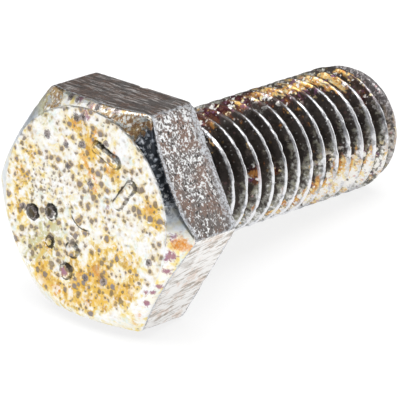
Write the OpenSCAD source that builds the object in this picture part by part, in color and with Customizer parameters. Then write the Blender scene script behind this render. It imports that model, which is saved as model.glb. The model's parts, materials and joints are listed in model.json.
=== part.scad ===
// Hexagon head screw, cold-forged from one piece of steel and threaded nearly up to the head.
// It lies as it comes to rest: on the rear edge of one flat of the head and on the thread near the tip.
// Sizes are in millimetres. X runs along the screw towards the tip, Z is up, and it lies on Z = 0.

/* [Head] */
// Distance between two opposite flats, which is what a wrench takes
across_flats = 16.8; // [16.2:0.1:18]
// How far each sharp corner of the hexagon is rounded off
corner_relief = 0.12; // [0.04:0.02:0.3]
// Height of the hexagon, without the raised seat
hexagon_height = 5.9; // [5:0.1:8]
// Diameter of the flat round top inside the chamfer
top_diameter = 15.84; // [14:0.04:16]
// Slope of the chamfer against the top
chamfer_slope = 37; // [20:1:45]
// Diameter of the raised seat under the hexagon
seat_diameter = 15.4; // [13:0.1:16]
// Height of the raised seat
seat_height = 0.3; // [0.15:0.05:0.6]

/* [Marks] */
// Height of the raised marks on the top
mark_height = 0.2; // [0.1:0.05:0.4]
// Diameter of each pip
pip_size = 1.1; // [0.8:0.05:1.3]
// Diameter of the small dot between the pairs of pips
dot_size = 0.7; // [0.4:0.05:1]
// Length of each bar between the centres of its round ends
bar_length = 2; // [1:0.1:3]
// Width of each bar
bar_width = 0.8; // [0.4:0.05:1.2]

/* [Shank] */
// Length from the seat to the end
screw_length = 24.9; // [20:0.1:35]
// Length of the plain neck between the seat and the start of the thread
neck_length = 3.6; // [1:0.1:4]
// Radius of the fillet that joins the neck to the seat
neck_fillet = 0.4; // [0.2:0.05:0.6]
// Length of the taper at the end
taper_length = 1.5; // [0.8:0.1:2]

/* [Thread] */
// Diameter over the crests
thread_diameter = 9.85; // [9.6:0.05:10.2]
// Distance from one crest to the next
pitch = 1.5; // [1.25:0.05:1.75]
// Turn of the thread about the screw, in degrees
thread_turn = 261; // [0:1:359]
// Length over which the thread rises to its full height
runout_length = 1.4; // [0.8:0.1:3]

/* [Hidden] */
steel = [0.72, 0.66, 0.52];
overlap = 1;
round_sides = 96;

// Head
flat_distance = across_flats / 2;
sharp_corner = across_flats / sqrt(3);
corner_radius = sharp_corner - corner_relief;
top_radius = top_diameter / 2;
chamfer_depth = (corner_radius - top_radius) * tan(chamfer_slope);

// Thread with the standard 60 degree profile: the plain neck has the diameter that the thread is rolled from
sharp_depth = pitch * sqrt(3) / 2;
thread_depth = 17 / 24 * sharp_depth;
crest_radius = thread_diameter / 2;
root_radius = crest_radius - thread_depth;
neck_radius = crest_radius - 3 / 8 * sharp_depth;
crest_half = pitch / 16;
root_half = pitch / 2 - crest_half - thread_depth * tan(30);

// Heights along the screw, from the rear of the hexagon
thread_start = seat_height + neck_length;
end_height = seat_height + screw_length;
taper_start = end_height - taper_length;
turn_height = pitch * thread_turn / 360;

// The screw's lie: the last full crest on the side of the floor carries the tip
last_crest = turn_height + pitch * floor((taper_start - turn_height - crest_half) / pitch) + crest_half;
lie = atan((flat_distance - crest_radius) / last_crest);
rear_reach = hexagon_height * cos(lie) + top_radius * sin(lie);
front_reach = end_height * cos(lie) + root_radius * sin(lie);

// The thread's surface: columns around the axis, and rows that follow the helix,
// with two rows along each crest and two along each root
columns = 48;
rows_per_pitch = 4;
row_offset = [-crest_half, crest_half, pitch / 2 - root_half, pitch / 2 + root_half];
row_full_radius = [crest_radius, crest_radius, root_radius, root_radius];
first_turn = floor((thread_start - turn_height) / pitch) - 2;
row_count = rows_per_pitch * (ceil((end_height - turn_height) / pitch) - first_turn + 2);
least_gap = 0.04;

function row_height(k, g) =
    turn_height + pitch * (first_turn + floor(g / rows_per_pitch) + k / columns)
    + row_offset[g % rows_per_pitch];

// How far the thread has risen out of the neck, from 0 to 1
function rise(h) = min(1, max(0, (h - thread_start) / runout_length));

// The end is rounded: a gentle slope over most of the taper, then a steep one down to the root
function taper_radius(h) =
    lookup(h, [
        [taper_start, crest_radius],
        [end_height - taper_length / 4, crest_radius - thread_depth / 2],
        [end_height, root_radius]]);

function row_radius(h, g) =
    min(neck_radius + (row_full_radius[g % rows_per_pitch] - neck_radius) * rise(h), taper_radius(h));

function around(k, r, h) = [r * cos(360 * k / columns), r * sin(360 * k / columns), h];

// For each column, its first row past the neck and the first row that is past the end
first_row = [for (k = [0 : columns - 1])
    [for (g = [0 : row_count]) if (row_height(k, g) > thread_start + least_gap) g][0]];
end_row = [for (k = [0 : columns - 1])
    [for (g = [0 : row_count]) if (row_height(k, g) > end_height - least_gap) g][0]];
column_start = [for (k = 0, n = 0; k < columns; n = n + end_row[k] - first_row[k], k = k + 1) n];

// Rings with one point in each column, as [radius, height]:
// inside the head, at the seat, above the fillet, at the neck's end and at the tip
ring_list = [
    [neck_radius + neck_fillet, -overlap],
    [neck_radius + neck_fillet, seat_height],
    [neck_radius, seat_height + neck_fillet],
    [neck_radius, thread_start],
    [root_radius, end_height]];
neck_end = 3;
tip = 4;

rings = [for (ring = ring_list) for (k = [0 : columns - 1]) around(k, ring[0], ring[1])];
helix = [for (k = [0 : columns - 1]) for (g = [first_row[k] : end_row[k] - 1])
    let (h = row_height(k, g)) around(k, row_radius(h, g), h)];
shank_points = concat(rings, helix, [[0, 0, -overlap], [0, 0, end_height]]);

function ring_point(i, k) = i * columns + k % columns;

// A row that starts below the thread's start or past the end is drawn in to the ring there
function row_point(k, g) =
    k == columns ? row_point(0, g + rows_per_pitch)
    : g < first_row[k] ? ring_point(neck_end, k)
    : g >= end_row[k] ? ring_point(tip, k)
    : len(rings) + column_start[k] + g - first_row[k];

function triangle(a, b, c) = a == b || b == c || a == c ? [] : [[a, b, c]];

function two_triangles(a, b, c, d) = concat(triangle(a, b, c), triangle(a, c, d));

shank_faces = [for (k = [0 : columns - 1]) each concat(
    [[ring_point(0, k), ring_point(0, k + 1), len(shank_points) - 2]],
    [[ring_point(tip, k + 1), ring_point(tip, k), len(shank_points) - 1]],
    [for (i = [0 : neck_end - 1]) each two_triangles(
        ring_point(i, k), ring_point(i + 1, k), ring_point(i + 1, k + 1), ring_point(i, k + 1))],
    [for (g = [0 : row_count - 1]) each two_triangles(
        row_point(k, g), row_point(k, g + 1), row_point(k + 1, g + 1), row_point(k + 1, g))])];

// Plain neck, rolled thread and tapered end
module shank() {
    polyhedron(points = shank_points, faces = shank_faces, convexity = 10);
}

// Hexagon with a turned chamfer, and the round seat that it bears on
module head() {
    intersection() {
        translate([0, 0, -hexagon_height]) rotate([0, 0, 30])
            cylinder(h = hexagon_height, r = sharp_corner, $fn = 6);
        rotate_extrude($fn = round_sides) polygon([
            [0, -hexagon_height], [top_radius, -hexagon_height],
            [corner_radius, chamfer_depth - hexagon_height], [corner_radius, 0], [0, 0]]);
    }
    translate([0, 0, -overlap]) cylinder(h = overlap + seat_height, d = seat_diameter, $fn = round_sides);
}

// Puts a mark on the top, at a distance and an angle from the axis
module on_top(distance, angle) {
    rotate([0, 0, angle]) translate([distance, 0, -hexagon_height - mark_height]) children();
}

module pip(size) {
    cylinder(h = mark_height + overlap, d = size, $fn = round_sides);
}

module bar() {
    translate([-bar_length / 2, -bar_width / 2, 0]) cube([bar_length, bar_width, mark_height + overlap]);
    for (side = [-1, 1]) translate([side * bar_length / 2, 0, 0]) pip(bar_width);
}

// Plain raised marks: two pairs of pips with a dot between them, and two bars across from them
module marks() {
    for (angle = [18, 75]) for (distance = [3.4, 5.3]) on_top(distance, angle) pip(pip_size);
    on_top(4.6, 46) pip(dot_size);
    on_top(5.2, 201) rotate([0, 0, 90]) bar();
    on_top(4.4, 239) rotate([0, 0, -23]) bar();
}

module screw() {
    color(steel)
        translate([(rear_reach - front_reach) / 2, 0, flat_distance * cos(lie)]) rotate([0, 90 + lie, 0]) {
            head();
            marks();
            shank();
        }
}

screw();
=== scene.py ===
import json
import math

import bpy
import numpy as np
from mathutils import Matrix, Vector


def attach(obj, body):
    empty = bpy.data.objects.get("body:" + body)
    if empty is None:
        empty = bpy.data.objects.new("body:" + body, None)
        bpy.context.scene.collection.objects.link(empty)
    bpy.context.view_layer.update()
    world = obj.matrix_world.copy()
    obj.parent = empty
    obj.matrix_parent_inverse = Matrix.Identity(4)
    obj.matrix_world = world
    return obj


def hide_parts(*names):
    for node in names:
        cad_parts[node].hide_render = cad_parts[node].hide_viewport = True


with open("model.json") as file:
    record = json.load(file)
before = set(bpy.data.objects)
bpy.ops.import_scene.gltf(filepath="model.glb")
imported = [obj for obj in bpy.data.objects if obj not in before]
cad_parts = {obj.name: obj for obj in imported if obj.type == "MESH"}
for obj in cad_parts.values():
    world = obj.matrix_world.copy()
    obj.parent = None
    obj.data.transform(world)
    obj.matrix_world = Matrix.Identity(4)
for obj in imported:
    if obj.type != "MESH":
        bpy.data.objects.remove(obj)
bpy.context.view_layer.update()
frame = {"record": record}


# The screw is one piece of steel wire: cold-forged, threaded by rolling, then zinc-plated.
# Its shape is worked out standing up, in millimetres, with the rear of the hexagon at Z = 0
# and the tip upwards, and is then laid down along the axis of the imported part.
end_height = 25.2
mounts = {mount["name"]: mount for mount in frame["record"]["mounts"]}
axis = np.array(mounts["thread"]["axis"])
end_middle = np.array(mounts["thread"]["pos_m"]) * 1000
rear_middle = end_middle - axis * end_height
laid_directions = np.array([[axis[2], 0, -axis[0]], [0, 1, 0], axis])


def laid_down(points):
    return (points @ laid_directions + rear_middle) / 1000


class Surface:
    """The points and faces of the screw's skin, with the number of each face's finish."""

    def __init__(self):
        self.points = np.zeros((0, 3))
        self.faces = []
        self.finishes = []

    def add_points(self, points):
        first = len(self.points)
        self.points = np.vstack([self.points, points])
        return first + np.arange(len(points))

    def add_faces(self, faces, finish):
        for face in faces:
            corners = list(dict.fromkeys(int(i) for i in face))
            if len(corners) > 2:
                self.faces.append(corners)
                self.finishes.append(finish)

    def add_ring(self, radius, height, turn):
        return self.add_points(np.stack([
            radius * np.cos(turn), radius * np.sin(turn), np.broadcast_to(height, turn.shape)], 1))

    def join_rings(self, one, other, finish):
        self.add_faces(np.stack([one, other, np.roll(other, -1), np.roll(one, -1)], 1), finish)


skin = Surface()
TOP_FINISH, FLAT_FINISH, THREAD_FINISH = 0, 1, 2


# Hexagon head, forged from the wire and trimmed to six flats, with a turned chamfer round its
# flat top. The edges are blunt from plating and handling. Raised marks stand on the top, and a
# raised round seat is under the hexagon.
across_flats = 16.8
corner_relief = 0.12
hexagon_height = 5.9
top_radius = 7.92
chamfer_slope = math.tan(math.radians(37))
seat_radius = 7.7
seat_height = 0.3
seat_inner_radius = 6.2
seat_edge_round = 0.08
edge_round = 0.13
corner_blend = 0.06
rolled_edge = 0.25
mark_height = 0.2
mark_slope = 0.07
mark_foot_offset = 0.04
mark_foot_width = 0.13
grid_cells = 132
edge_cells = 4
chamfer_cells = 6
shoulder_cells = 6
flat_cells = 30
rear_cells = 3
seat_cells = 2

flat_distance = across_flats / 2
corner_radius = across_flats / math.sqrt(3) - corner_relief
head_columns = 4 * grid_cells
head_turn = np.arange(head_columns) * 2 * math.pi / head_columns


def soft_step(value, low, high):
    share = np.clip((value - low) / (high - low), 0, 1)
    return share * share * (3 - 2 * share)


def soft_min(a, b, blend):
    return (a + b - np.sqrt((a - b) ** 2 + blend ** 2)) / 2


def soft_max(a, b, blend):
    return -soft_min(-a, -b, blend)


# The top is a square grid of cells drawn out to a disc, so that all its cells have about one size.
side = np.linspace(-1, 1, grid_cells + 1)
grid_x, grid_y = np.meshgrid(side, side, indexing="ij")
grid_ring = np.maximum(abs(grid_x), abs(grid_y))
wide = abs(grid_x) >= abs(grid_y)
long_way = np.where(wide, grid_x, grid_y)
short_way = np.where(wide, grid_y, grid_x)
share = np.divide(short_way, long_way, out=np.zeros_like(short_way), where=grid_ring > 0)
top_turn = np.where(wide, share, 2 - share) * math.pi / 4 + math.pi * (long_way < 0)
top_reach = grid_ring * (top_radius - edge_round)
top_x = (top_reach * np.cos(top_turn)).ravel()
top_y = (top_reach * np.sin(top_turn)).ravel()

# Marks: distance from the axis, angle about it, tilt of the mark, and its length and width.
top_marks = [
    (3.4, 18, 0, 0, 1.1),
    (5.3, 18, 0, 0, 1.1),
    (3.4, 75, 0, 0, 1.1),
    (5.3, 75, 0, 0, 1.1),
    (4.6, 46, 0, 0, 0.7),
    (5.2, 201, 90, 2, 0.8),
    (4.4, 239, -23, 2, 0.8),
]
top_lift = np.zeros_like(top_x)
mark_foot_shade_ring = np.zeros_like(top_x)
for distance, angle, tilt, length, width in top_marks:
    centre = distance * np.exp(1j * math.radians(angle))
    local = (top_x + 1j * top_y - centre) * np.exp(-1j * math.radians(angle + tilt))
    outside = np.hypot(np.maximum(abs(local.real) - length / 2, 0), local.imag) - width / 2
    top_lift = np.maximum(top_lift, soft_step(-outside, -mark_slope, mark_slope))
    # Painted shade: a dark ring just outside each raised mark, in the crease at its foot.
    mark_foot_shade_ring = np.maximum(mark_foot_shade_ring, np.exp(-((outside - mark_foot_offset) / mark_foot_width) ** 2))

top_points = skin.add_points(np.stack([top_x, top_y, -hexagon_height - mark_height * top_lift], 1))
top_grid = top_points.reshape(grid_ring.shape)
skin.add_faces(np.stack([
    top_grid[:-1, :-1].ravel(), top_grid[:-1, 1:].ravel(),
    top_grid[1:, 1:].ravel(), top_grid[1:, :-1].ravel()], 1), TOP_FINISH)
outer = np.flatnonzero(grid_ring.ravel() == 1)
top_rim = top_points[outer[np.argsort(np.round(top_turn.ravel()[outer], 9) % (2 * math.pi))]]


def turn_from_flat(turn):
    """Angle about the axis from the middle of the nearest flat."""
    return (turn + math.pi / 6) % (math.pi / 3) - math.pi / 6


def hexagon_radius(turn):
    """Distance from the axis to the hexagon's flats and rounded corners."""
    to_flat = flat_distance / np.cos(turn_from_flat(turn))
    return soft_min(to_flat, np.full(len(turn), corner_radius), corner_blend)


def shoulder_ease(side):
    """How far the edge between chamfer and flat is rolled over: most in the middle of a flat, where the
    trimming die cut off the most metal."""
    return edge_round + rolled_edge * (corner_radius - side) / (corner_radius - flat_distance)


def profile_point(radius, height):
    shape = head_turn.shape
    return np.stack([np.broadcast_to(radius, shape), np.broadcast_to(height, shape)], 1)


def towards(start, end, distance):
    way = end - start
    return start + way / np.linalg.norm(way, axis=1, keepdims=True) * np.reshape(distance, (-1, 1))


# The profile of the head at each column, as radius and height, from the top's rim to the neck.
side_radius = hexagon_radius(head_turn)
chamfer_end = (side_radius - top_radius) * chamfer_slope - hexagon_height
top_middle = profile_point(0, -hexagon_height)
rim = profile_point(top_radius, -hexagon_height)
shoulder = profile_point(side_radius, chamfer_end)
rear_edge = profile_point(side_radius, 0)
seat_foot = profile_point(seat_radius, 0)
seat_edge = profile_point(seat_radius, seat_height)
seat_inner = profile_point(seat_inner_radius, seat_height)


def edge_rows(before, corner, after, ease, cells):
    """Rows of a small round that takes the place of a corner of the profile."""
    start = towards(corner, before, ease)
    end = towards(corner, after, ease)
    return [
        (1 - t) ** 2 * start + 2 * t * (1 - t) * corner + t ** 2 * end
        for t in np.linspace(0, 1, cells + 1)]


def rows_between(start, end, cells):
    return [start + (end - start) * t for t in np.linspace(0, 1, cells + 1)[1:-1]]


rim_rows = edge_rows(top_middle, rim, shoulder, edge_round, edge_cells)[1:]
shoulder_rows = edge_rows(rim, shoulder, rear_edge, shoulder_ease(side_radius), shoulder_cells)
rear_rows = edge_rows(shoulder, rear_edge, seat_foot, edge_round, edge_cells)
seat_rows = edge_rows(seat_foot, seat_edge, seat_inner, seat_edge_round, seat_cells)
head_rows = (
    [(row, TOP_FINISH) for row in rim_rows]
    + [(row, TOP_FINISH) for row in rows_between(rim_rows[-1], shoulder_rows[0], chamfer_cells)]
    + [(row, TOP_FINISH) for row in shoulder_rows[:-1]]
    + [(row, FLAT_FINISH) for row in shoulder_rows[-1:]]
    + [(row, FLAT_FINISH) for row in rows_between(shoulder_rows[-1], rear_rows[0], flat_cells)]
    + [(row, FLAT_FINISH) for row in rear_rows]
    + [(row, FLAT_FINISH) for row in rows_between(rear_rows[-1], seat_foot, rear_cells)]
    + [(row, FLAT_FINISH) for row in [seat_foot] + seat_rows + [seat_inner]])
last_ring = top_rim
for row, finish in head_rows:
    ring = skin.add_ring(row[:, 0], row[:, 1], head_turn)
    skin.join_rings(last_ring, ring, finish)
    last_ring = ring


# Shank: a short plain neck, then the right-hand thread that dies away towards the head, and a
# rounded, tapered end. Rolling presses the grooves in and raises the crests, so the crests keep
# a narrow flat and the roots are round.
neck_radius = 4.438
neck_fillet = 0.4
thread_start = 3.9
runout_length = 1.4
pitch = 1.5
thread_turn = 261
crest_radius = 4.925
taper_length = 1.5
root_round = 0.06
crest_round = 0.036
columns_met = 3
end_ring_radii = (3.9, 3.3, 2.5, 1.6, 0.7)

thread_depth = 17 / 24 * pitch * math.sqrt(3) / 2
root_radius = crest_radius - thread_depth
crest_half = pitch / 16
turn_height = pitch * thread_turn / 360
taper_start = end_height - taper_length
shank_columns = head_columns // columns_met
shank_turn = np.arange(shank_columns) * 2 * math.pi / shank_columns


def thread_radius(height, offset):
    """Radius at a height along the screw and at an offset from the middle of the nearest crest."""
    rise = np.clip((height - thread_start) / runout_length, 0, 1)
    flank = crest_radius - (abs(offset) - crest_half) * math.sqrt(3)
    deepest = neck_radius + (root_radius - neck_radius) * rise
    highest = neck_radius + (crest_radius - neck_radius) * rise
    taper = np.interp(
        height,
        [taper_start, end_height - taper_length / 4, end_height],
        [crest_radius, crest_radius - thread_depth / 2, root_radius])
    rounded = soft_min(soft_max(flank, deepest, root_round), highest, crest_round)
    return np.minimum(rounded, taper)


# Rings from the seat to the thread's start, as radius and height. The seat's inner edge has more
# columns than they have, so a group of its columns meets each column of the first ring.
fillet_middle = 0.2 * neck_fillet
neck_rows = [
    (6.0, seat_height),
    (5.4, seat_height),
    (neck_radius + neck_fillet, seat_height),
    (neck_radius + fillet_middle, seat_height + fillet_middle),
    (neck_radius, seat_height + neck_fillet),
    (neck_radius, 1.8),
    (neck_radius, 2.8),
    (neck_radius, thread_start),
]
neck_rings = [skin.add_ring(radius, height, shank_turn) for radius, height in neck_rows]
head_groups = last_ring.reshape(-1, columns_met)
next_groups = np.roll(head_groups, -1, axis=0)
skin.add_faces(np.column_stack([
    head_groups, next_groups[:, 0], np.roll(neck_rings[0], -1), neck_rings[0]]), FLAT_FINISH)
for one, other in zip(neck_rings, neck_rings[1:]):
    skin.join_rings(one, other, THREAD_FINISH)

# Rows that follow the helix, at these shares of the pitch to each side of a crest, along the crest
# and along the root. A row that starts below the thread or ends past the tip is drawn in to the ring
# there.
half_offsets = np.array([0.037, 0.073, 0.133, 0.22, 0.307, 0.387, 0.447]) * pitch
row_offsets = np.concatenate([-half_offsets[::-1], [0], half_offsets, [pitch / 2]])
rows_per_pitch = len(row_offsets)
least_gap = 0.03
first_turn = math.floor((thread_start - turn_height) / pitch) - 2
turn_count = math.ceil((end_height - turn_height) / pitch) - first_turn + 2
row_numbers = np.arange(rows_per_pitch * turn_count)
row_heights = (
    turn_height + row_offsets[row_numbers % rows_per_pitch][None, :]
    + pitch * (first_turn + row_numbers // rows_per_pitch)[None, :]
    + pitch * (np.arange(shank_columns) / shank_columns)[:, None])
helix_radius = thread_radius(row_heights, row_offsets[row_numbers % rows_per_pitch][None, :])
tip_ring = skin.add_ring(root_radius, end_height, shank_turn)
on_thread = (row_heights > thread_start + least_gap) & (row_heights < end_height - least_gap)
helix = np.where(row_heights > thread_start + least_gap, tip_ring[:, None], neck_rings[-1][:, None])
helix[on_thread] = skin.add_points(np.stack([
    helix_radius * np.cos(shank_turn)[:, None],
    helix_radius * np.sin(shank_turn)[:, None],
    row_heights], 2)[on_thread])
next_column = np.vstack([helix[1:], np.concatenate([
    helix[0, rows_per_pitch:], np.full(rows_per_pitch, tip_ring[0])])[None, :]])
skin.add_faces(np.stack([
    helix[:, :-1].ravel(), helix[:, 1:].ravel(),
    next_column[:, 1:].ravel(), next_column[:, :-1].ravel()], 1), THREAD_FINISH)

last_ring = tip_ring
for radius in end_ring_radii:
    ring = skin.add_ring(radius, end_height, shank_turn)
    skin.join_rings(last_ring, ring, THREAD_FINISH)
    last_ring = ring
skin.add_faces([last_ring], THREAD_FINISH)


# The plating: a very thin coat of zinc, laid on in a bath, with a yellow film over it. Its state is
# worked out point by point: how far an edge or crest is worn bright, on the top's rim partly as a painted
# highlight, and how strongly the film, amber stain, olive tint, brown tarnish, blue haze and dark oxide
# show. The dark oxide state also holds painted shade on the flats and the shank.
margin = 0.01
wide_margin = 0.3
rim_inset = 0.06
rim_rub_width = 0.08
chamfer_rub_width = 0.06
corner_rub_width = 0.15
seat_rub_width = 0.5
points = skin.points
radius = np.hypot(points[:, 0], points[:, 1])
turn = np.arctan2(points[:, 1], points[:, 0])
height = points[:, 2]
on_head = (height < seat_height + margin) & (radius > neck_radius - wide_margin)


def lumps(size, seed):
    """Smooth random values from 0 to 1 over the screw, with lumps of about the given size."""
    cells = 32
    table = np.random.default_rng(seed).random((cells, cells, cells))
    cell = np.floor(points / size).astype(int)
    inside = points / size - cell
    inside = inside * inside * (3 - 2 * inside)
    total = np.zeros(len(points))
    for corner in np.ndindex(2, 2, 2):
        weight = np.prod(np.where(np.array(corner) == 1, inside, 1 - inside), axis=1)
        index = (cell + np.array(corner)) % cells
        total += weight * table[index[:, 0], index[:, 1], index[:, 2]]
    return total


def near(distance, size):
    """1 at no distance, dying away over about the given size."""
    return np.exp(-(distance / size) ** 2)


def turn_from(angle):
    """Angle about the axis from a given angle, in degrees, from -180 to 180."""
    return (np.degrees(turn) - angle + 180) % 360 - 180


def by_angle(*stops, lean=0, lean_from=10):
    """A strength that follows the angle about the axis, in degrees, straight between the given stops.
    With a lean, the stops move back by so many degrees for each millimetre past the height lean_from."""
    angles, strengths = zip(*stops)
    return np.interp((np.degrees(turn) + lean * (height - lean_from)) % 360, angles, strengths)


own_side = hexagon_radius(turn)
own_shoulder = (own_side - top_radius) * chamfer_slope - hexagon_height + shoulder_ease(own_side)
to_shoulder = np.hypot(radius - own_side, height - own_shoulder)
to_rear_edge = np.hypot(radius - own_side, height)
to_corner = (math.pi / 6 - abs(turn_from_flat(turn))) * radius
to_rim = np.hypot(radius - top_radius + rim_inset, height + hexagon_height)
on_flat = (height > own_shoulder - 2 * margin) & (radius > own_side - wide_margin) & (height < margin)
on_chamfer = (radius > top_radius + margin) & (height < own_shoulder - 2 * margin)

# For each flat, in the order bottom, lower left, upper left, top, upper right, lower right: how wide
# its front and rear edges are rubbed, and how strongly each mark shows on it.
flat_number = np.round(np.degrees(turn) / 60).astype(int) % 6
flat_shoulder_rub = np.array([0.2, 0.2, 0.2, 0.1, 0.3, 0.16])
flat_rear_rub = np.array([0.3, 0.3, 0.3, 0.16, 0.95, 0.3])
# The oxide and dullness rows are partly painted reflection: the top flat is painted dark where it mirrors
# the dim room, and the lower right flat pale where it mirrors the white table.
flat_oxide_and_shade = np.array([0.5, 0.5, 0.5, 0.66, 0.0, 0.0])
flat_mottle = np.array([0.6, 0.9, 0.7, 0.15, 1.0, 0.0])
flat_streak = np.array([0.5, 0.6, 0.6, 1.0, 0.1, 0.0])
flat_brush = np.array([0.3, 0.3, 0.3, 0.1, 0.0, 1.0])
flat_dullness_and_shade = np.array([0.6, 0.9, 0.8, 1.0, 1.0, 0.0])

shoulder_rub = np.where(on_flat, flat_shoulder_rub[flat_number], chamfer_rub_width)
rear_rub = flat_rear_rub[flat_number]
# The top's rim is rubbed, and is partly a painted highlight: strongest from 215 to 290 degrees, where the
# rim shows a bright line.
rim_rub_and_glint = by_angle((0, 0.5), (140, 0.5), (190, 0.6), (215, 1), (290, 1), (320, 0.6), (360, 0.5))
head_wear = np.maximum.reduce([
    near(to_shoulder, shoulder_rub),
    near(to_rear_edge, rear_rub),
    np.where(on_flat, 0.8 * near(to_corner, corner_rub_width), 0),
    np.where(height > 0.2, near(radius - seat_radius, seat_rub_width), 0),
    np.where(on_flat, 0, near(to_rim, rim_rub_width) * rim_rub_and_glint)])

crest_offset = (height - turn_height - pitch * turn / (2 * math.pi) + pitch / 2) % pitch - pitch / 2
crest_rub = by_angle(
    (0, 0.3), (165, 0.05), (205, 0.05), (235, 0.13), (262, 0.22), (285, 0.28), (360, 0.3))
wider_rub = 0.2 * soft_step(height, 12, 19) * by_angle((0, 1), (205, 0.2), (228, 1), (360, 1))
crest_rub = crest_rub + wider_rub
thread_wear = soft_step(radius, crest_radius - crest_rub, crest_radius - 0.02)
low_crest = soft_step(height, thread_start + 0.3, thread_start + 0.8) * near(crest_offset, 0.2)
thread_wear = np.maximum(thread_wear, low_crest * (1 - soft_step(height, 5.6, 6.2)))
on_end = np.where(height > end_height - margin, soft_step(radius, root_radius, root_radius - 0.8), 0)
taper = soft_step(height, taper_start - 0.1, taper_start + 0.5) * (1 - 0.5 * on_end)
thread_wear = thread_wear * (1 - 0.7 * taper) * (1 - 0.35 * soft_step(height, 21.5, 23))
bright_side = by_angle((0, 1), (150, 0.15), (186, 0.15), (197, 0.4), (210, 0.75), (222, 1), (360, 1))
dull_side = by_angle((0, 0), (266, 0), (282, 1), (330, 1), (345, 0), (360, 0))
thread_wear = thread_wear * bright_side * (1 - 0.5 * soft_step(height, 14, 17) * dull_side)
# Painted shade: a dark line in the root beside each crest, where the groove lies in shade.
groove_shade = near(crest_offset + 0.4 * pitch, 0.13 * pitch) * (1 - taper)
wear = np.where(on_head, head_wear, thread_wear)
on_side = (1 - on_end) * ~on_head


def top_stain(patches):
    """Soft patches on the top and chamfer: distance from the axis, angle about it, size and strength."""
    total = np.zeros(len(points))
    for distance, angle, size, strength in patches:
        x = distance * math.cos(math.radians(angle))
        y = distance * math.sin(math.radians(angle))
        total += strength * near(np.hypot(points[:, 0] - x, points[:, 1] - y), size)
    return np.where(height < own_shoulder + 0.1, total, 0)


def thread_stain(patches):
    """Soft patches on the shank: height, angle about the axis, length, width in degrees and strength."""
    total = np.zeros(len(points))
    for along, angle, length, width, strength in patches:
        total += strength * near(height - along, length) * near(turn_from(angle), width)
    return total * on_side


gold = top_stain([
    (7.0, 24, 0.9, 0.8), (5.8, 4, 0.9, 0.9), (4.7, 345, 1.0, 1.0), (5.9, 331, 1.0, 0.9),
    (6.8, 318, 0.9, 0.8), (6.7, 347, 0.8, 0.7), (6.6, 170, 0.8, 0.7), (5.7, 182, 0.8, 0.7),
    (4.9, 186, 0.7, 0.8), (3.6, 178, 0.9, 0.7), (4.6, 213, 0.8, 0.9), (6.5, 253, 0.9, 0.9),
    (7.2, 264, 0.6, 0.7), (6.6, 98, 1.2, 0.6), (6.7, 78, 1.1, 0.5), (5.2, 48, 1.2, 0.45),
    (6.6, 38, 1.0, 0.6), (2.2, 206, 0.6, 0.6), (3.2, 320, 1.2, 0.45), (4.4, 300, 1.3, 0.4),
    (6.6, 120, 1.3, 0.35), (4.2, 10, 0.8, 0.6), (5.3, 300, 0.9, 0.3), (6.2, 305, 0.7, 0.4),
    (5.4, 276, 0.5, 0.5), (3.0, 345, 0.9, 0.2), (8.6, 326, 0.7, 0.3), (7.2, 0, 0.8, 0.5),
    (7.5, 11, 0.7, 0.6), (7.2, 340, 0.8, 0.35), (7.2, 33, 0.7, 0.6),
]) + thread_stain([
    (12.5, 182, 3, 11, 0.5), (18, 181, 4.5, 18, 0.8), (21.5, 198, 2, 14, 0.6),
    (20.5, 284, 3.0, 15, 0.9), (17, 300, 4, 15, 0.8), (21, 305, 3, 16, 0.8),
    (24.4, 262, 1.2, 24, 0.45), (18, 268, 3.5, 10, 0.5), (14.5, 315, 4, 14, 0.6),
    (12, 40, 6, 50, 0.5), (18, 110, 5, 45, 0.5),
])
amber = top_stain([
    (7.2, 20, 0.7, 0.7), (4.5, 340, 0.8, 0.7), (5.2, 2, 0.7, 0.6), (6.6, 168, 0.5, 0.8),
    (5.4, 158, 0.4, 0.5), (5.4, 184, 0.5, 0.8), (3.4, 184, 0.6, 0.7), (2.2, 205, 0.4, 0.8),
    (6.5, 252, 0.6, 0.7), (6.7, 105, 0.4, 0.7), (8.8, 272, 0.75, 1.15), (5.6, 206, 0.5, 0.7),
    (6.4, 186, 0.5, 0.8), (4.3, 176, 0.5, 0.7), (4.4, 208, 0.5, 0.8), (6.9, 356, 0.5, 0.6),
    (8.5, 322, 0.35, 0.6), (8.9, 329, 0.3, 0.6), (3.0, 196, 0.4, 0.7),
]) + thread_stain([
    (9.5, 173, 4.5, 15, 0.75), (13, 176, 3, 17, 0.6), (6, 185, 3, 10, 0.7), (16, 195, 3, 8, 0.6),
    (22.5, 222, 1.5, 12, 0.6), (7.9, 258, 0.45, 7, 1.9), (10.4, 264, 0.4, 6, 1.7), (14, 90, 5, 40, 0.6),
])
olive = top_stain([
    (4.9, 50, 1.5, 0.75), (6.4, 47, 1.4, 0.7), (3.6, 60, 1.0, 0.55), (8.5, 146, 1.2, 1.0),
])
clear = top_stain([
    (6.6, 143, 1.2, 0.8), (4.6, 279, 1.2, 1.0), (5.9, 284, 1.0, 0.7), (7.0, 209, 1.1, 1.0),
    (8.4, 290, 0.6, 1.0), (8.3, 304, 0.7, 1.0), (8.5, 316, 0.6, 0.9), (8.6, 338, 0.8, 0.7),
    (8.4, 98, 0.8, 0.6),
]) + thread_stain([
    (24.4, 285, 2.6, 36, 1.0), (6, 166, 4, 13, 1.2), (10, 172, 3, 12, 0.8), (13.5, 188, 2, 9, 0.8),
    (22.5, 165, 2.5, 18, 0.7), (16, 325, 6, 18, 0.8), (18.5, 252, 4, 14, 0.5),
])
speckled = top_stain([
    (5.2, 118, 1.6, 1.0), (3.5, 105, 1.4, 1.0), (5.5, 93, 1.2, 0.9), (6.7, 60, 0.8, 0.7),
])
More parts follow.
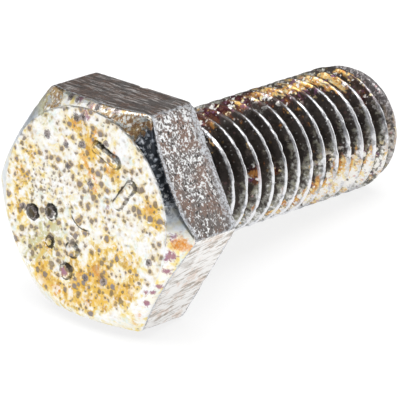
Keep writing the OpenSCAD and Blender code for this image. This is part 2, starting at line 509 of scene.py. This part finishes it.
blot = top_stain([
    (6.4, 141, 0.42, 1.0), (7.1, 170, 0.4, 1.0), (5.1, 174, 0.42, 1.0), (6.0, 197, 0.32, 1.0),
    (3.6, 149, 0.36, 1.0), (2.3, 190, 0.38, 1.0), (5.3, 337, 0.42, 1.0), (5.1, 357, 0.34, 1.0),
    (6.7, 289, 0.36, 1.0), (5.1, 156, 0.34, 1.0), (8.5, 165, 0.32, 1.0), (8.3, 170, 0.22, 0.9),
    (8.2, 178, 0.18, 0.9), (8.2, 184, 0.28, 1.1), (8.3, 190, 0.2, 1.0), (8.6, 195, 0.3, 1.1),
    (5.3, 75, 0.6, 1.5), (3.4, 75, 0.55, 1.3), (6.3, 79, 0.34, 1.0), (5.4, 8, 0.4, 0.7),
    (7.2, 176, 0.34, 1.0),
])
tarnish = np.where(on_chamfer, by_angle(
    (0, 0), (137, 0), (146, 0.55), (157, 0.7), (162, 0.2), (178, 0.3), (186, 0.55), (199, 0.75),
    (207, 0.75), (215, 1.2), (220, 0.6), (224, 0), (360, 0)), 0)
rose = top_stain([
    (7.4, 178, 0.5, 1.1), (2.4, 246, 0.35, 0.9), (5.3, 18, 0.42, 1.4), (8.3, 288, 0.3, 1.1),
    (8.2, 298, 0.26, 1.1), (8.1, 303, 0.24, 1.1), (7.7, 306, 0.26, 1.1), (8.2, 311, 0.32, 1.0),
    (8.5, 171, 0.36, 1.0), (8.15, 181, 0.3, 0.8), (8.3, 268, 0.42, 1.0), (8.35, 279, 0.45, 1.1),
])
oxide_and_shade = np.where(on_flat, flat_oxide_and_shade[flat_number] + by_angle(
    (0, 0), (209, 0), (211, 0.15), (240, 0.3), (269, 0.65), (271, 0), (360, 0)), 0)
oxide_and_shade = np.where(on_chamfer, by_angle(
    (0, 0), (66, 0), (84, 0.12), (108, 0.2), (127, 0.4), (137, 0.35), (141, 0), (211, 0), (217, 1),
    (240, 1), (250, 0.6), (262, 0.3), (268, 0), (360, 0)), oxide_and_shade)
# On the shank this state is partly painted shade. The first patch is a ring round the neck next to the
# head, painted as the head's shade. The band that follows the angle about the axis, across the middle of
# the thread, is partly oxide and partly a painted reflection of the dim room.
oxide_and_shade = oxide_and_shade + thread_stain([
    (3, 60, 2, 400, 0.7), (24.6, 178, 1.2, 40, 0.8), (13.5, 164, 3.5, 12, 0.5),
]) + on_side * by_angle(
    (0, 0.15), (150, 0.2), (166, 0.25), (180, 0.6), (192, 1.0), (205, 1.5), (225, 1.35), (240, 0.9),
    (252, 0.62), (270, 0.38), (290, 0.22), (310, 0.06), (360, 0.15), lean=1.3)
haze = np.where(on_chamfer, by_angle(
    (0, 0), (62, 0), (84, 0.5), (108, 0.6), (127, 0.9), (137, 0.9), (143, 0.2), (147, 0), (236, 0),
    (250, 0.85), (262, 0.8), (270, 0), (360, 0)), 0)
mottle = np.where(on_flat, flat_mottle[flat_number], 0.8)
streak = np.where(on_flat, flat_streak[flat_number], 0.2)
brush = np.where(on_flat, flat_brush[flat_number], 0)
dullness_and_shade = np.where(on_flat, flat_dullness_and_shade[flat_number], 0.6)
scratch = np.where(height < 0, by_angle((0, 1), (58, 1), (70, 0), (338, 0), (350, 1), (360, 1)), 0)
# The painted shade round the feet of the marks, on the top's points.
mark_foot_shade = np.zeros(len(points))
mark_foot_shade[top_points] = mark_foot_shade_ring

# Pits and small dents are pressed into the mesh along its normals.
pit_depth = 0.03
wave_depth = 0.02
nick_depth = 0.1
dent_depth = 0.07
pits = pit_depth * soft_step(lumps(0.34, 5), 0.62, 0.9) + wave_depth * lumps(1.1, 6)
nicks = nick_depth * soft_step(lumps(0.7, 7), 0.55, 0.95) * np.where(on_head, head_wear, 0)
crest_dents = dent_depth * soft_step(lumps(0.4, 8), 0.5, 0.95) * np.where(on_head, 0, thread_wear)

mesh = bpy.data.meshes.new("hexagon_head_screw")
mesh.from_pydata(laid_down(points).tolist(), [], skin.faces)
mesh.polygons.foreach_set("material_index", skin.finishes)
mesh.update()
screw = bpy.data.objects.new("hexagon_head_screw", mesh)
bpy.context.scene.collection.objects.link(screw)
bpy.context.view_layer.objects.active = screw
bpy.ops.object.mode_set(mode="EDIT")
bpy.ops.mesh.select_all(action="SELECT")
bpy.ops.mesh.normals_make_consistent(inside=False)
bpy.ops.object.mode_set(mode="OBJECT")
normals = np.zeros(len(points) * 3)
mesh.vertices.foreach_get("normal", normals)
pressed_in = (pits + nicks + crest_dents) / 1000
pressed = laid_down(points) - normals.reshape(-1, 3) * pressed_in[:, None]
mesh.vertices.foreach_set("co", pressed.ravel())
mesh.shade_smooth()
state = {
    "wear": wear, "gold": gold, "amber": amber, "olive": olive, "clear": clear,
    "speckled": speckled, "blot": blot, "rose": rose, "tarnish": tarnish, "oxide_and_shade": oxide_and_shade,
    "mottle": mottle, "streak": streak, "brush": brush, "dullness_and_shade": dullness_and_shade, "groove_shade": groove_shade,
    "taper": taper, "mark_foot_shade": mark_foot_shade, "scratch": scratch, "chamfer": on_chamfer, "haze": haze}
for name, values in state.items():
    layer = mesh.attributes.new(name, "FLOAT", "POINT")
    layer.data.foreach_set("value", np.clip(values, 0, 2).astype(np.float32))
# Places on the standing screw, and the way round it and along it, for marks that run one way.
around = np.where(on_head, flat_distance, crest_radius) * ((turn - math.pi / 6) % (2 * math.pi))
for name, values in (("standing", points), ("ways", np.stack([around, height, radius], 1))):
    layer = mesh.attributes.new(name, "FLOAT_VECTOR", "POINT")
    layer.data.foreach_set("vector", values.astype(np.float32).ravel())


class Shade:
    """One output of a finish's nodes. Arithmetic with it adds Math nodes."""

    def __init__(self, tree, socket=None):
        self.tree = tree
        self.socket = socket

    def node(self, kind, settings=None, sockets=None, output=0):
        made = self.tree.nodes.new(kind)
        for name, value in (settings or {}).items():
            setattr(made, name, value)
        for name, value in (sockets or {}).items():
            if isinstance(value, Shade):
                self.tree.links.new(value.socket, made.inputs[name])
            else:
                made.inputs[name].default_value = value
        return Shade(self.tree, made.outputs[output])

    def beside(self, output):
        """Another output of the same node."""
        return Shade(self.tree, self.socket.node.outputs[output])

    def math(self, operation, *values):
        sockets = dict(enumerate((self,) + values))
        return self.node("ShaderNodeMath", {"operation": operation}, sockets)

    def __add__(self, other):
        return self.math("ADD", other)

    __radd__ = __add__

    def __mul__(self, other):
        return self.math("MULTIPLY", other)

    __rmul__ = __mul__

    def __sub__(self, other):
        return self.math("SUBTRACT", other)

    def __rsub__(self, other):
        return (self * -1).math("ADD", other)

    def larger(self, other):
        return self.math("MAXIMUM", other)

    def step(self, low, high):
        """0 below low and 1 above high, with a soft change between."""
        return self.node(
            "ShaderNodeMapRange", {"interpolation_type": "SMOOTHSTEP"},
            {"Value": self, "From Min": low, "From Max": high})

    def tint(self, colour, other):
        """The first colour where this is 0, the other where it is 1."""
        # A Mix node keeps its colours in sockets 6 and 7, and their mixture in output 2.
        sockets = {0: self}
        for place, value in ((6, colour), (7, other)):
            sockets[place] = value if isinstance(value, Shade) else (*value, 1)
        return self.node("ShaderNodeMix", {"data_type": "RGBA", "clamp_factor": True}, sockets, 2)

    def state(self, name):
        return self.node("ShaderNodeAttribute", {"attribute_name": name}, output="Fac")

    def places(self, name):
        return self.node("ShaderNodeAttribute", {"attribute_name": name}, output="Vector")

    def stretched(self, amounts):
        return self.node("ShaderNodeVectorMath", {"operation": "MULTIPLY"}, {0: self, 1: amounts})

    def shaken(self, size, amount):
        """The same places, moved about at random by up to the given amount."""
        noise = self.node(
            "ShaderNodeTexNoise", None, {"Vector": self, "Scale": 1 / size, "Detail": 2.0}, "Color")
        off = self.node("ShaderNodeVectorMath", {"operation": "SUBTRACT"}, {0: noise, 1: (0.5, 0.5, 0.5)})
        off = off.stretched((2 * amount,) * 3)
        return self.node("ShaderNodeVectorMath", {"operation": "ADD"}, {0: self, 1: off})

    def turned(self, degrees):
        return self.node(
            "ShaderNodeVectorRotate", {"rotation_type": "Z_AXIS"},
            {"Vector": self, "Angle": math.radians(degrees)})

    def clouds(self, size, detail=3.0, roughness=0.55):
        """Random values about 0.5 at these places, with clouds of about the given size."""
        return self.node("ShaderNodeTexNoise", None, {
            "Vector": self, "Scale": 1 / size, "Detail": detail, "Roughness": roughness})

    def spots(self, size, share, smallest, largest, flat=True):
        """How deep a place lies inside a round spot, in millimetres, and the spot's own random tone.
        Spots are in the given share of cells of the given size, and their radius lies between the
        two given. The cells are laid out over a plane if flat, or else all through the metal."""
        distance = self.node(
            "ShaderNodeTexVoronoi", {"voronoi_dimensions": "2D" if flat else "3D"},
            {"Vector": self, "Scale": 1 / size}, "Distance")
        chance = self.node("ShaderNodeSeparateColor", None, {"Color": distance.beside("Color")})
        radius = (chance - (1 - share)) * ((largest - smallest) / share) + smallest
        missing = chance.math("LESS_THAN", 1 - share) * size
        return radius - distance * size - missing, chance.beside(1)


def start_finish(name):
    """A new material on the screw, and the start of its nodes."""
    material = bpy.data.materials.new(name)
    material.use_nodes = True
    screw.data.materials.append(material)
    return material, Shade(material.node_tree)


def lay_finish(material, colour, metal, roughness, bump_height, bump_size):
    """Joins a finish to its material's shader. The bump's size is in millimetres."""
    tree = material.node_tree
    shader = tree.nodes["Principled BSDF"]
    bump = bump_height.node("ShaderNodeBump", None, {
        "Strength": 1.0, "Distance": bump_size / 1000, "Height": bump_height})
    inputs = {"Base Color": colour, "Metallic": metal, "Roughness": roughness, "Normal": bump}
    for name, value in inputs.items():
        tree.links.new(value.socket, shader.inputs[name])


# The head's top and chamfer: zinc under a yellow film that has faded to white in places and is gold
# or orange in others, with mauve-grey corrosion spots all over.
white_zinc = (0.975, 0.98, 0.98)
mint_zinc = (0.80, 0.89, 0.85)
cream = (0.975, 0.95, 0.83)
straw = (0.94, 0.78, 0.32)
gold_film = (0.88, 0.56, 0.11)
orange_film = (0.80, 0.30, 0.05)
peach_film = (0.90, 0.58, 0.30)
brown_film = (0.56, 0.29, 0.05)
olive_film = (0.60, 0.58, 0.30)
rose_film = (0.33, 0.10, 0.19)
halo_tan = (0.66, 0.46, 0.19)
spot_brown = (0.32, 0.245, 0.20)
spot_mauve = (0.45, 0.39, 0.39)
spot_edge = (0.17, 0.125, 0.09)
blot_grey = (0.09, 0.08, 0.08)
blot_black = (0.03, 0.02, 0.014)
# Dark for the painted shade round the marks' feet, and for the scratch.
foot_shade_and_scratch_dark = (0.018, 0.015, 0.013)
tarnish_dark = (0.055, 0.035, 0.022)
tarnish_brown = (0.24, 0.14, 0.08)
tarnish_gold = (0.56, 0.40, 0.20)
tarnish_fleck = (0.90, 0.89, 0.86)
tarnish_grey = (0.52, 0.55, 0.55)
tarnish_blue = (0.045, 0.052, 0.063)
speck_blue = (0.46, 0.50, 0.56)
haze_blue = (0.42, 0.47, 0.55)
worn_blue = (0.74, 0.77, 0.82)
rim_white = (0.88, 0.90, 0.93)
scratch_radius = 1.4

top_finish, start = start_finish("spotted_yellow_zinc")
place = start.places("standing")
moved = place.shaken(0.5, 0.14).shaken(0.15, 0.07)
cloud = place.clouds(1.4, 4.0, 0.6)
fine_cloud = moved.clouds(0.42, 4.0, 0.6)
soft_cloud = moved.clouds(0.5, 2.0, 0.45)
grain = place.clouds(0.14, 2.0)
clear_state = start.state("clear")
gold_state = start.state("gold") * 1.08 - clear_state * 0.3
oxide_and_shade_state = start.state("oxide_and_shade") * start.state("chamfer")
colour = place.clouds(0.8, 3.0).step(0.44, 0.6).tint(white_zinc, cream)
olive_state = start.state("olive")
mint_share = (moved.clouds(0.9, 3.0) + olive_state * 0.1).step(0.54, 0.64)
colour = (mint_share * 0.8).tint(colour, mint_zinc)
colour = (gold_state * 0.5 + cloud + soft_cloud * 1.2).step(1.06, 1.42).tint(colour, straw)
olive_share = (olive_state + fine_cloud * 2.4 + cloud).step(1.9, 2.5)
colour = (olive_share * 0.8).tint(colour, olive_film)
gold_tone = moved.clouds(0.7, 2.0, 0.5) + (grain - 0.5) * 0.2
gold_colour = gold_tone.step(0.44, 0.64).tint(gold_film, brown_film)
gold_share = (gold_state * 0.85 + cloud * 0.9 + soft_cloud * 1.3 + fine_cloud * 0.3).step(1.46, 2.02)
colour = gold_share.tint(colour, gold_colour)
amber_share = (start.state("amber") + cloud * 0.4 + fine_cloud * 2.2).step(1.6, 2.3)
colour = amber_share.tint(colour, grain.step(0.35, 0.7).tint(orange_film, peach_film))
faded = (1 - start.state("chamfer")) * (1 - gold_state.step(0.45, 1.0) * 0.75)
colour = (moved.clouds(0.75, 2.0).step(0.55, 0.64) * faded * 0.8).tint(colour, white_zinc)
colour = (fine_cloud.step(0.5, 0.4) * faded * 0.65).tint(colour, white_zinc)
rose_share = (start.state("rose") + (fine_cloud - 0.5) * 2.4 + (grain - 0.5)).step(0.35, 0.95)
colour = (rose_share * 0.85).tint(colour, rose_film)

tarnish_state = start.state("tarnish")
brown = (fine_cloud + (grain - 0.5) * 0.5).step(0.4, 0.6).tint(tarnish_brown, tarnish_gold)
grey_share = (cloud + (fine_cloud - 0.5) * 1.2 + (grain - 0.5) * 0.6).step(0.54, 0.66)
brown = grey_share.tint(brown, tarnish_grey)
brown = (tarnish_state + (fine_cloud - 0.5) * 2.4).step(0.95, 1.4).tint(brown, tarnish_dark)
fleck_depth, tone = moved.spots(0.36, 0.6, 0.05, 0.14)
brown = (fleck_depth.step(-0.03, 0.05) * (0.4 + tone * 0.6)).tint(brown, tarnish_fleck)
colour = (tarnish_state + (fine_cloud - 0.5) * 1.6).step(0.35, 0.65).tint(colour, brown)

hidden = clear_state * 0.35 + start.state("chamfer") * 0.4
speckled_state = start.state("speckled")
sparse = place.clouds(1.1, 2.0).step(0.56, 0.42)
spot_share = None
for size, share, smallest, largest, less in (
        (0.27, 0.6, 0.03, 0.075, (1 - speckled_state) * 0.06),
        (0.52, 0.6, 0.08, 0.18, hidden),
        (1.0, 0.75, 0.17, 0.34, hidden + speckled_state * 0.12)):
    depth, tone = moved.spots(size, share, smallest, largest)
    depth = depth - less - sparse * largest * 0.35 + (grain - 0.5) * 0.12 + (fine_cloud - 0.5) * 0.2
    halo = depth.step(-0.24, 0.02) * (0.35 + tone * 0.65) * min(1.0, largest * 3.4)
    colour = halo.tint(colour, (gold_state + cloud).step(0.6, 1.0).tint(halo_tan, gold_film))
    body = depth.step(-0.04, 0.08)
    spot_colour = (tone + (fine_cloud - 0.5) * 1.6).tint(spot_brown, spot_mauve)
    spot_colour = ((1 - depth.step(0.04, 0.12)) * tone.step(0.9, 0.2) * 0.7).tint(spot_colour, spot_edge)
    colour = (body * (0.6 + tone * 0.4)).tint(colour, spot_colour)
    spot_share = body if spot_share is None else spot_share.larger(body)

haze_share = start.state("haze") * (0.9 + (fine_cloud - 0.5) * 0.9)
colour = haze_share.tint(colour, haze_blue)
blue_specks, tone = moved.spots(0.32, 0.85, 0.04, 0.16)
blue = (blue_specks.step(-0.04, 0.06) * (0.15 + tone * 0.85)).tint(tarnish_blue, speck_blue)
blue = (fine_cloud.step(0.53, 0.68) * 0.8).tint(blue, worn_blue)
colour = (oxide_and_shade_state + (fine_cloud - 0.5) * 1.6).step(0.4, 0.65).tint(colour, blue)
blot_state = start.state("blot")
blot_share = (blot_state + (fine_cloud - 0.5) * 1.6 + (grain - 0.5) * 0.5).step(0.42, 0.65)
blot_colour = (fine_cloud + (grain - 0.5) * 0.5).step(0.42, 0.6).tint(blot_grey, spot_mauve)
black_share = (blot_state + (fine_cloud - 0.5) * 2.0).step(0.9, 1.2)
blot_colour = black_share.tint(blot_colour, blot_black)
colour = (blot_share * 0.92).tint(colour, blot_colour)
level_place = place.stretched((1, 1, 0))
from_axis = level_place.node("ShaderNodeVectorMath", {"operation": "LENGTH"}, {0: level_place}, "Value")
from_scratch = (from_axis - scratch_radius).math("ABSOLUTE") + (grain - 0.5) * 0.06
scratch_share = from_scratch.step(0.08, 0.03) * start.state("scratch")
colour = (scratch_share * 0.85).tint(colour, foot_shade_and_scratch_dark)
# Painted shade: a dark, broken ring round the foot of each raised mark.
foot_shade_tone = start.state("mark_foot_shade") + (fine_cloud - 0.5) * 1.6 + (soft_cloud - 0.5) * 1.2
foot_shade_share = foot_shade_tone.step(0.4, 0.8) * (0.55 + cloud.step(0.4, 0.6) * 0.4)
colour = foot_shade_share.tint(colour, foot_shade_and_scratch_dark)
# Worn edges turn pale; on the top's rim this is partly a painted highlight.
edge_share = (start.state("wear") + (fine_cloud - 0.5) * 1.6 - tarnish_state * 0.4).step(0.45, 0.85)
colour = (edge_share * 0.75).tint(colour, rim_white)
lay_finish(
    top_finish, colour, 0.97 - spot_share * 0.4, 0.24 + spot_share * 0.22 + fine_cloud * 0.12,
    fine_cloud * 0.5 - spot_share - scratch_share * 2, 0.025)


# The six flats and the underside: trimmed by the forging die, which left fine lines across them,
# with thin, dull plating that is mottled brown-grey and rubbed bright along the edges.
flat_white = (0.96, 0.945, 0.925)
flat_grey = (0.175, 0.152, 0.142)
flat_brown = (0.26, 0.175, 0.14)
flat_dark = (0.06, 0.052, 0.048)
flat_pink = (0.80, 0.66, 0.57)
fleck_white = (0.93, 0.935, 0.94)
line_dark = (0.075, 0.065, 0.06)
line_pale = (0.74, 0.70, 0.68)
line_tan = (0.40, 0.345, 0.285)

flat_finish, start = start_finish("mottled_zinc_flats")
place = start.places("ways")
moved = place.shaken(0.3, 0.1)
lines = place.shaken(1.0, 0.18).stretched((0.55, 4.5, 0.3)).clouds(1.0, 4.0, 0.75)
blotch = moved.clouds(0.33, 3.0, 0.62)
grain = moved.clouds(0.15, 2.0)
zone = place.clouds(1.3, 3.0, 0.6)
oxide_and_shade_state = start.state("oxide_and_shade")
mottle_state = start.state("mottle")
streak_state = start.state("streak")
brush_state = start.state("brush")
# Dull flats get the dark ground and the others the pale one. This and the oxide state are partly painted
# reflection: dark on the top flat, pale on the lower right flat.
dullness_and_shade_share = (start.state("dullness_and_shade") + (blotch - 0.5) * 0.6).step(0.25, 0.6)
ground = (zone + (blotch - 0.5) * 0.6).step(0.42, 0.58).tint(flat_grey, flat_brown)
ground = (oxide_and_shade_state + (blotch - 0.5) * 1.2 + (grain - 0.5) * 1.4).step(0.4, 1.0).tint(ground, flat_dark)
pale_ground = ((zone + (blotch - 0.5) * 0.4).step(0.5, 0.66) * 0.8).tint(flat_white, flat_pink)
colour = dullness_and_shade_share.tint(pale_ground, ground)
fleck_tone = blotch + (grain - 0.5) * 0.9 - (zone - 0.5) * 0.4 - oxide_and_shade_state * 0.2
flecks = fleck_tone.step(0.41, 0.57) * mottle_state
colour = flecks.tint(colour, fleck_white)
dark_specks, tone = moved.spots(0.42, 0.7, 0.04, 0.14)
colour = (dark_specks.step(-0.02, 0.05) * mottle_state * tone.step(0.1, 0.7)).tint(colour, flat_dark)
dark_lines = lines.step(0.52, 0.66) * streak_state
pale_lines = lines.step(0.47, 0.36) * streak_state
colour = (dark_lines * 0.85).tint(colour, line_dark)
colour = (pale_lines * dullness_and_shade_share * 0.85).tint(colour, line_pale)
strokes = place.shaken(0.7, 0.14).turned(-10).stretched((5.5, 0.8, 0.3)).clouds(1.0, 3.0, 0.6)
stroke_share = strokes.step(0.48, 0.62) * (0.45 + zone.step(0.35, 0.6) * 0.5) * brush_state
colour = stroke_share.tint(colour, line_tan)
edge_share = (start.state("wear") + (blotch - 0.5) * 2.0).step(0.35, 0.8)
colour = (edge_share * 0.85).tint(colour, grain.step(0.64, 0.44).tint(flat_grey, worn_blue))
lay_finish(
    flat_finish, colour, 0.92 - dullness_and_shade_share * 0.3 + flecks * 0.25, 0.34 + dullness_and_shade_share * 0.06,
    blotch * 0.5 + lines * 0.6 + flecks * 0.4 - stroke_share * 0.4, 0.03)


# The thread: rubbed bright along the crests, with dark oxide and painted shade in the grooves and along
# its middle, and gold, amber and purple films where the plating is still sound.
groove_black = (0.024, 0.02, 0.018)
groove_dark = (0.065, 0.055, 0.05)
groove_brown = (0.18, 0.145, 0.13)
groove_grey = (0.27, 0.265, 0.24)
groove_pale = (0.88, 0.88, 0.87)
groove_olive = (0.34, 0.33, 0.24)
film_gold = (0.86, 0.55, 0.18)
film_straw = (0.95, 0.83, 0.52)
film_orange = (0.55, 0.245, 0.075)
film_brown = (0.075, 0.04, 0.03)
film_pink = (0.62, 0.30, 0.32)
film_pale = (0.985, 0.97, 0.935)
film_amber = (0.16, 0.065, 0.04)
film_red = (0.075, 0.02, 0.024)
film_purple = (0.20, 0.09, 0.17)
crest_bright = (0.94, 0.945, 0.97)
crest_dull = (0.44, 0.45, 0.48)
taper_grey = (0.27, 0.245, 0.25)
taper_pale = (0.68, 0.65, 0.65)
taper_dark = (0.13, 0.118, 0.12)

thread_finish, start = start_finish("oxidised_thread")
place = start.places("standing")
moved = place.shaken(0.4, 0.12)
cloud = place.clouds(0.9, 3.0, 0.6)
fine_cloud = moved.clouds(0.36, 2.0, 0.55)
grain = place.clouds(0.19, 2.0)
drawn = start.places("ways").shaken(0.6, 0.12).stretched((0.4, 1.7, 0.5)).clouds(0.62, 2.0, 0.5)
gold_state = start.state("gold")
amber_state = start.state("amber")
oxide_and_shade_state = start.state("oxide_and_shade")
clear_state = start.state("clear")
taper_state = start.state("taper")
groove_shade_state = start.state("groove_shade")
speckle = (fine_cloud - 0.5) * 1.6 + (grain - 0.5) * 0.7
# The thread's ground is darkest where the oxide state is high, which is partly painted shade, and along
# the painted groove shade.
depth_colour = (fine_cloud + (cloud - 0.5) * 0.8).step(0.5, 0.76).tint(groove_dark, groove_brown)
depth_colour = (oxide_and_shade_state + speckle * 1.2).step(0.9, 1.9).tint(depth_colour, groove_black)
light_share = 0.86 - oxide_and_shade_state * 0.75 - groove_shade_state * 0.6 + speckle * 0.8 + (cloud - 0.5) * 0.9
light_share = light_share.step(0.2, 1.0)
colour = light_share.step(0.0, 0.5).tint(depth_colour, groove_grey)
colour = light_share.step(0.5, 1.0).tint(colour, groove_pale)
colour = (cloud.step(0.48, 0.6) * light_share * (1 - light_share) * 2.4).tint(colour, groove_olive)
film_mix = (drawn - 0.5) * 2.4 + speckle * 0.4
amber_share = (amber_state + film_mix).step(0.35, 0.75)
red_share = (drawn + (cloud - 0.5) * 1.2 + amber_state.step(1.1, 1.5)).step(0.56, 0.44)
amber_tone = fine_cloud + (grain - 0.5) * 0.8 + amber_state.step(1.1, 1.5) * 0.2
amber_colour = amber_tone.step(0.58, 0.72).tint(film_amber, film_orange)
colour = amber_share.tint(colour, red_share.tint(amber_colour, film_red))
gold_share = (gold_state + film_mix - groove_shade_state * 0.8).step(0.35, 0.65)
fine_drawn = start.places("ways").shaken(0.4, 0.08).stretched((0.5, 3.2, 0.6)).clouds(0.6, 2.0, 0.5)
gold_tone = fine_drawn + (fine_cloud - 0.5) * 1.2 + (grain - 0.5) * 0.5
gold_colour = gold_tone.step(0.5, 0.66).tint(film_gold, film_orange)
gold_colour = gold_tone.step(0.48, 0.3).tint(gold_colour, film_straw)
colour = gold_share.tint(colour, gold_colour)
stripes = (fine_drawn + groove_shade_state * 0.12).step(0.47, 0.38) * (gold_state + amber_state).step(0.2, 0.7)
colour = (stripes * (0.4 + oxide_and_shade_state.step(0.05, 0.5) * 0.5)).tint(colour, film_brown)
purple_share = moved.clouds(0.5, 2.0).step(0.56, 0.65) * (gold_state + amber_state).step(0.2, 0.8)
purple_share = purple_share * amber_state.step(1.5, 1.1)
colour = (purple_share * 0.8).tint(colour, film_purple)
pale_share = gold_state * 0.6 + speckle * 0.9 + (cloud - 0.5) * 1.4 - groove_shade_state * 0.8
pale_share = (pale_share - oxide_and_shade_state * 0.2 + clear_state * 0.45).step(0.44, 0.74)
colour = pale_share.tint(colour, film_pale)
stained = gold_state.larger(amber_state).step(0.05, 0.6)
bright_specks = None
for size, share, smallest, largest in ((0.62, 0.75, 0.11, 0.25), (0.4, 0.7, 0.06, 0.15)):
    depth, tone = moved.shaken(0.22, 0.16).spots(size, share, smallest, largest, False)
    specks = (depth + (grain - 0.5) * 0.2).step(-0.02, 0.05) * (0.02 + stained * 0.98)
    specks = specks * amber_state.step(1.5, 1.1)
    colour = specks.tint(colour, tone.step(0.6, 0.68).tint(film_pale, film_straw))
    bright_specks = specks if bright_specks is None else bright_specks.larger(specks)
dust_depth, tone = place.shaken(0.15, 0.08).spots(0.26, 0.4, 0.03, 0.08, False)
colour = (dust_depth.step(-0.02, 0.03) * (0.15 + tone * 0.45)).tint(colour, groove_pale)
fleck_depth, tone = moved.spots(0.42, 0.6, 0.05, 0.13, False)
fleck_colour = tone.step(0.34, 0.4).tint(film_purple, tone.step(0.6, 0.66).tint(film_gold, film_pink))
fleck_colour = tone.step(0.2, 0.24).tint(film_brown, fleck_colour)
colour = (fleck_depth.step(-0.03, 0.05) * (0.12 + light_share * 0.75)).tint(colour, fleck_colour)
crest_share = (start.state("wear") + speckle * 0.5).step(0.28, 0.72)
crest_tone = place.clouds(0.7, 3.0, 0.6) + speckle * 0.22 + (start.state("wear") - 0.8) * 0.5
crest_colour = crest_tone.step(0.32, 0.56).tint(crest_dull, crest_bright)
crest_colour = (amber_state.step(0.1, 0.6) * (0.25 + speckle * 0.4)).tint(crest_colour, film_pink)
colour = (crest_share * 0.95).tint(colour, crest_colour)
sharp_grain = place.clouds(0.15, 1.0)
taper_tone = 0.52 + clear_state * 0.3 + speckle * 0.8 + (sharp_grain - 0.5) * 1.5
taper_colour = (taper_tone - oxide_and_shade_state * 0.2).step(0.1, 0.6).tint(taper_dark, taper_grey)
taper_colour = taper_tone.step(0.55, 0.95).tint(taper_colour, taper_pale)
taper_colour = (fleck_depth.step(-0.03, 0.05) * 0.5).tint(taper_colour, film_pink)
taper_strength = 0.98 - gold_state * 0.5 - clear_state * 0.3 + speckle * 0.8
taper_share = taper_state * (1 - bright_specks) * taper_strength
colour = taper_share.tint(colour, taper_colour)
lay_finish(
    thread_finish, colour, 0.9 - taper_state * 0.4,
    0.34 - crest_share * 0.04 + fine_cloud * 0.1 + taper_state * 0.1,
    fine_cloud * 0.7 + grain * 0.3 - bright_specks * 0.3, 0.025)

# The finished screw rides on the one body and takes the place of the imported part's one node.
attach(screw, "root")
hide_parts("screw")


# Plain white table top that the screw lies on, far larger than the view. The camera and the metal
# see it as an even, pale ground, and it keeps the screw's shadow.
table_half = 2.0
table_grey = (0.25, 0.25, 0.25)
table_glow = (0.81, 0.81, 0.81)
no_glow = (0, 0, 0)
table_corners = [(x * table_half, y * table_half, 0) for x, y in ((-1, -1), (1, -1), (1, 1), (-1, 1))]
table_mesh = bpy.data.meshes.new("table_top")
table_mesh.from_pydata(table_corners, [], [(0, 1, 2, 3)])
table_top = bpy.data.objects.new("table_top", table_mesh)
bpy.context.scene.collection.objects.link(table_top)
table_finish = bpy.data.materials.new("white_table_top")
table_finish.use_nodes = True
table_shader = table_finish.node_tree.nodes["Principled BSDF"]
table_shader.inputs["Base Color"].default_value = (*table_grey, 1)
table_shader.inputs["Roughness"].default_value = 0.9
table_shader.inputs["Specular IOR Level"].default_value = 0.0
table_shader.inputs["Emission Strength"].default_value = 1.0
seen = Shade(table_finish.node_tree).node("ShaderNodeLightPath", output="Is Camera Ray")
seen = seen.larger(seen.beside("Is Glossy Ray")).larger(seen.beside("Is Transmission Ray"))
glow = seen.tint(no_glow, table_glow)
table_finish.node_tree.links.new(glow.socket, table_shader.inputs["Emission Color"])
table_mesh.materials.append(table_finish)


# Soft boxes in a dim room: a large one overhead, smaller ones behind, behind to the left and at the
# right, and the dimmest at the left. Each is a square lamp that faces the screw.
def soft_box(name, direction, distance, size, strength):
    light = bpy.data.lights.new(name, "AREA")
    light.shape = "SQUARE"
    light.size = size
    light.energy = strength * math.pi * size * size
    lamp = bpy.data.objects.new(name, light)
    way = Vector(direction).normalized()
    lamp.location = way * distance
    lamp.rotation_euler = way.to_track_quat("Z", "Y").to_euler()
    bpy.context.scene.collection.objects.link(lamp)


soft_box("overhead_soft_box", (0.0, 0.0, 1.0), 0.8, 1.0, 3.2)
soft_box("rear_left_soft_box", (-0.5, 0.6, 0.62), 0.7, 0.35, 1.0)
soft_box("right_soft_box", (0.8, -0.55, 0.28), 0.8, 0.6, 1.4)
soft_box("rear_soft_box", (-0.25, 0.92, 0.28), 0.8, 0.35, 1.0)
soft_box("left_soft_box", (-0.9, -0.25, 0.4), 0.8, 0.5, 0.55)
room_light = 0.08
room = bpy.data.worlds.new("dim_room")
room.use_nodes = True
room.node_tree.nodes["Background"].inputs["Color"].default_value = (1, 1, 1, 1)
room.node_tree.nodes["Background"].inputs["Strength"].default_value = room_light
bpy.context.scene.world = room
bpy.context.scene.view_settings.view_transform = "Standard"


# Camera with a long lens, in front of the head, to one side of it and above. The top of the head
# faces it, and the thread runs away from it to the upper right.
camera_data = bpy.data.cameras.new("camera")
camera_data.sensor_width = 36
camera_data.lens = 450
camera_data.clip_start = 0.01
camera = bpy.data.objects.new("camera", camera_data)
camera_place = Vector((-0.251971, -0.228598, 0.16739))
to_right = Vector((0.65702, -0.75221, -0.04997))
to_top = Vector((0.35562, 0.25081, 0.90035))
camera_turn = Matrix((to_right, to_top, to_right.cross(to_top))).transposed().to_4x4()
camera.matrix_world = Matrix.Translation(camera_place) @ camera_turn
bpy.context.scene.collection.objects.link(camera)
bpy.context.scene.camera = camera
